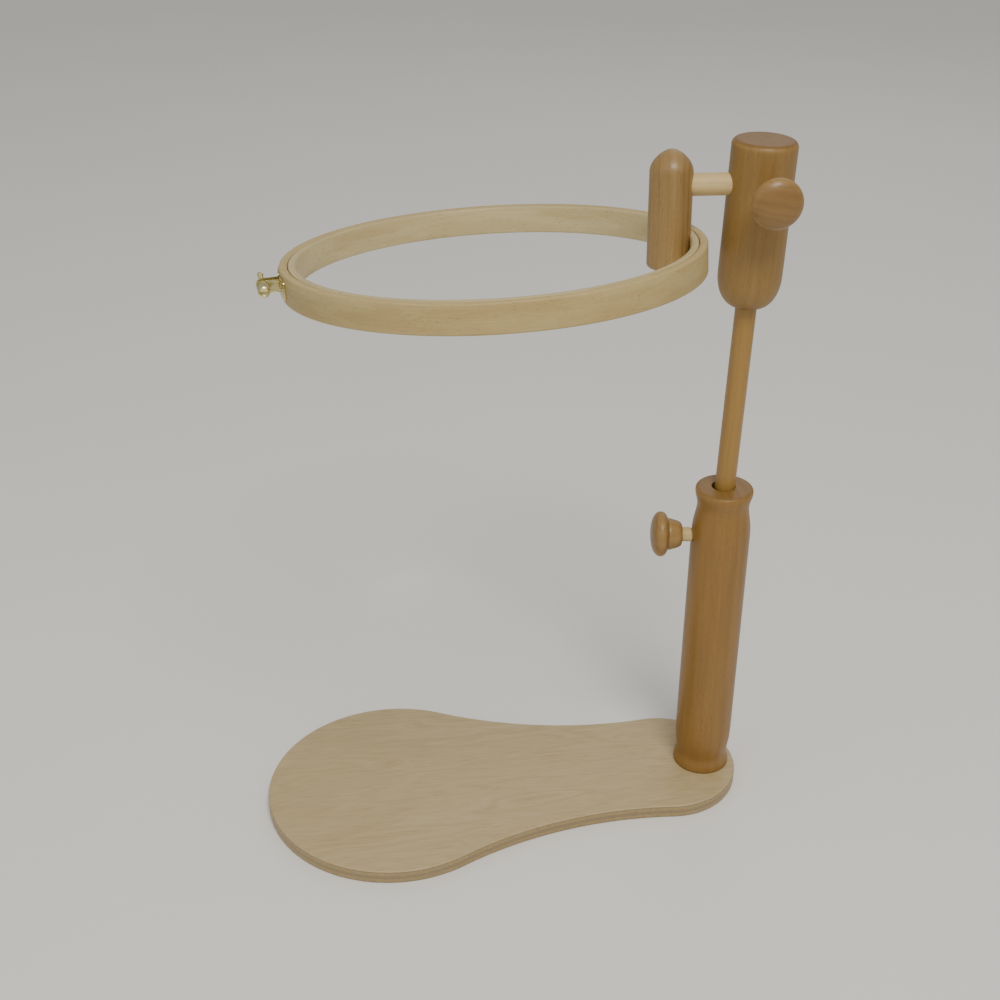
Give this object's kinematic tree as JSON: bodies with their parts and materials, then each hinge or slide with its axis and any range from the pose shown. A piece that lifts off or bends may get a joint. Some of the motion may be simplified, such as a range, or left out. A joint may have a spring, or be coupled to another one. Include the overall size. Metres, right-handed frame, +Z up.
{
  "type": "embroidery hoop on stand",
  "caption": "Sit-on embroidery frame: a paddle base, a turned column with a sliding rod, and a tilting wooden hoop clamped by turned knobs.",
  "frame": {"origin": "on the surface it stands on, where the column's axis meets the base's underside", "axes": "+Z up along the column, -X along the paddle base from the column to its round lobe, +Y away from the user's near side"},
  "size_m": [0.3213, 0.2399, 0.4423],
  "materials": {
    "base_ply": "lightly varnished birch-faced plywood with dark glue lines at its edge",
    "turned_wood": "turned hardwood under satin varnish",
    "knob_wood": "turned hardwood under satin varnish",
    "amber_dowel": "varnished dowel, handled smooth",
    "pale_dowel": "bare pale dowel",
    "hoop_wood": "sanded, thinly sealed pale hoop wood",
    "brass": "bright pressed brass, slightly tarnished",
    "steel_screw": "plated steel"
  },
  "bodies": {
    "stand": {"base_plate": "base_ply", "base_screw_1": "steel_screw", "base_screw_2": "steel_screw", "column": "turned_wood"},
    "column_clamp": {"column_clamp_screw": "pale_dowel"},
    "column_knob": {"column_clamp_knob": "knob_wood"},
    "rod": {"height_rod": "amber_dowel"},
    "head": {"head_block": "turned_wood"},
    "head_clamp": {"head_clamp_screw": "pale_dowel"},
    "head_knob": {"head_clamp_knob": "knob_wood"},
    "arm": {"cross_arm": "pale_dowel"},
    "hoop": {"hoop_holder": "turned_wood", "inner_ring": "hoop_wood", "holder_screw_1": "steel_screw", "holder_screw_2": "steel_screw"},
    "outer_hoop": {"outer_ring": "hoop_wood", "near_bracket": "brass", "far_bracket": "brass", "bracket_nail_1": "brass", "bracket_nail_2": "brass", "bracket_nail_3": "brass", "bracket_nail_4": "brass", "hoop_nut": "brass"},
    "tension_screw": {"hoop_screw": "brass"}
  },
  "joints": [
    {"name": "column_clamp_travel", "type": "slide", "parent": "stand", "child": "column_clamp", "axis": [-0.9877, 0.1564, 0], "range_m": [0, 0.0046]},
    {"name": "column_knob_turn", "type": "hinge", "parent": "column_clamp", "child": "column_knob", "pos_m": [-0.02431, 0.00372, 0.1889], "axis": [-0.9877, 0.1564, 0], "range_deg": [0, 540]},
    {"name": "height_slide", "type": "slide", "parent": "stand", "child": "rod", "axis": [0.0244, 0, 0.9997], "range_m": [-0.119, 0.02]},
    {"name": "head_swivel", "type": "hinge", "parent": "rod", "child": "head", "pos_m": [0, 0, 0.2225], "axis": [0.0244, 0, 0.9997], "continuous": true},
    {"name": "head_clamp_travel", "type": "slide", "parent": "head", "child": "head_clamp", "axis": [-0.061, -0.9981, 0.0015], "range_m": [0, 0.0046]},
    {"name": "head_knob_turn", "type": "hinge", "parent": "head_clamp", "child": "head_knob", "pos_m": [0.00436, -0.00634, 0.41695], "axis": [-0.061, -0.9981, 0.0015], "range_deg": [0, 540]},
    {"name": "arm_slide", "type": "slide", "parent": "head", "child": "arm", "axis": [-0.9981, 0.061, 0], "range_m": [-0.007, 0.008]},
    {"name": "hoop_tilt", "type": "hinge", "parent": "arm", "child": "hoop", "pos_m": [0.00475, 0, 0.41694], "axis": [0.9981, -0.061, 0], "continuous": true},
    {"name": "outer_ring_off", "type": "slide", "parent": "hoop", "child": "outer_hoop", "axis": [0.0452, -0.1184, -0.9919], "range_m": [0, 0.05]},
    {"name": "tension_screw_turn", "type": "hinge", "parent": "outer_hoop", "child": "tension_screw", "pos_m": [-0.27514, -0.00418, 0.37112], "axis": [0.0613, -0.9908, 0.121], "continuous": true}
  ],
  "couplings": [
    {"joint": "column_clamp_travel", "follows": "column_knob_turn", "m_per_rad": 0.00047746},
    {"joint": "head_clamp_travel", "follows": "head_knob_turn", "m_per_rad": 0.00047746}
  ]
}
